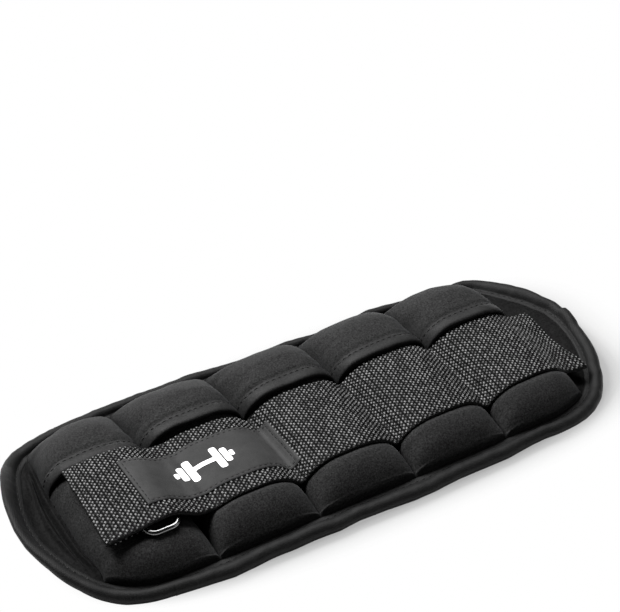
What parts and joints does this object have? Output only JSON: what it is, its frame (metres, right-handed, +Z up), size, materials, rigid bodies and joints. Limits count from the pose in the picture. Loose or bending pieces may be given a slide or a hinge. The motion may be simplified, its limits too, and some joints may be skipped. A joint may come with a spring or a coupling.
{
  "type": "ankle cuff weight",
  "caption": "Flat-laid wrap-around ankle weight: bound neoprene cuff with a row of flapped pockets holding removable sand bags, a webbing closing strap and a wire ring.",
  "frame": {"origin": "middle of the cuff's overall length and width, on the surface it lies on", "axes": "+X along the cuff towards the strap's sewn end, +Y across it towards the folded tops of the pocket flaps, +Z up, away from the lining"},
  "size_m": [0.308, 0.128, 0.0273],
  "materials": {
    "lining_neoprene": "matte brushed neoprene",
    "cover_neoprene": "matte fine-grained neoprene",
    "binding_tape": "matte folded tape",
    "strap_webbing": "ribbed polyester webbing, slight sheen",
    "label_patch": "smooth woven patch",
    "hook_tape": "hook fastener",
    "ring_steel": "bright plated wire",
    "bag_fabric": "woven nylon",
    "iron_sand": "loose dark grains"
  },
  "bodies": {
    "panel_1": {"lining_1": "lining_neoprene", "pocket_front_1": "cover_neoprene", "pocket_flap_1": "cover_neoprene", "flap_binding_1": "binding_tape", "bag_skin_1": "bag_fabric", "sand_fill_1": "iron_sand", "binding_end_ring": "binding_tape", "margin_cover_ring": "cover_neoprene", "ring_tab": "strap_webbing"},
    "panel_2": {"lining_2": "lining_neoprene", "pocket_front_2": "cover_neoprene", "pocket_flap_2": "cover_neoprene", "flap_binding_2": "binding_tape", "bag_skin_2": "bag_fabric", "sand_fill_2": "iron_sand", "binding_near_2": "binding_tape", "binding_far_2": "binding_tape", "strap_2": "strap_webbing", "label_main": "label_patch"},
    "panel_3": {"lining_3": "lining_neoprene", "pocket_front_3": "cover_neoprene", "pocket_flap_3": "cover_neoprene", "flap_binding_3": "binding_tape", "bag_skin_3": "bag_fabric", "sand_fill_3": "iron_sand", "binding_near_3": "binding_tape", "binding_far_3": "binding_tape", "strap_3": "strap_webbing"},
    "panel_4": {"lining_4": "lining_neoprene", "pocket_front_4": "cover_neoprene", "pocket_flap_4": "cover_neoprene", "flap_binding_4": "binding_tape", "bag_skin_4": "bag_fabric", "sand_fill_4": "iron_sand", "binding_near_4": "binding_tape", "binding_far_4": "binding_tape", "strap_4": "strap_webbing"},
    "panel_5": {"lining_5": "lining_neoprene", "pocket_front_5": "cover_neoprene", "pocket_flap_5": "cover_neoprene", "flap_binding_5": "binding_tape", "bag_skin_5": "bag_fabric", "sand_fill_5": "iron_sand", "binding_end_strap": "binding_tape", "margin_cover_strap": "cover_neoprene", "strap_root": "strap_webbing"},
    "strap_tail": {"strap_tail": "strap_webbing", "label_end": "label_patch", "hook_patch": "hook_tape"},
    "ring": {"ring": "ring_steel"}
  },
  "joints": [
    {"name": "seam_2_3", "type": "hinge", "parent": "panel_3", "child": "panel_2", "pos_m": [-0.02825, 0, 0], "axis": [0, -1, 0], "range_deg": [0, 60]},
    {"name": "seam_1_2", "type": "hinge", "parent": "panel_2", "child": "panel_1", "pos_m": [-0.07975, 0, 0], "axis": [0, -1, 0], "range_deg": [0, 60]},
    {"name": "seam_3_4", "type": "hinge", "parent": "panel_3", "child": "panel_4", "pos_m": [0.02325, 0, 0], "axis": [0, 1, 0], "range_deg": [0, 60]},
    {"name": "seam_4_5", "type": "hinge", "parent": "panel_4", "child": "panel_5", "pos_m": [0.07475, 0, 0], "axis": [0, 1, 0], "range_deg": [0, 60]},
    {"name": "strap_tail_peel", "type": "hinge", "parent": "panel_2", "child": "strap_tail", "pos_m": [-0.07975, 0, 0.0176], "axis": [0, 1, 0], "range_deg": [0, 100]},
    {"name": "ring_swing", "type": "hinge", "parent": "panel_1", "child": "ring", "pos_m": [-0.1066, 0, 0.02095], "axis": [0, -1, 0], "range_deg": [0, 85]}
  ],
  "couplings": [
    {"joint": "ring_swing", "follows": "strap_tail_peel", "ratio": 0.85}
  ]
}
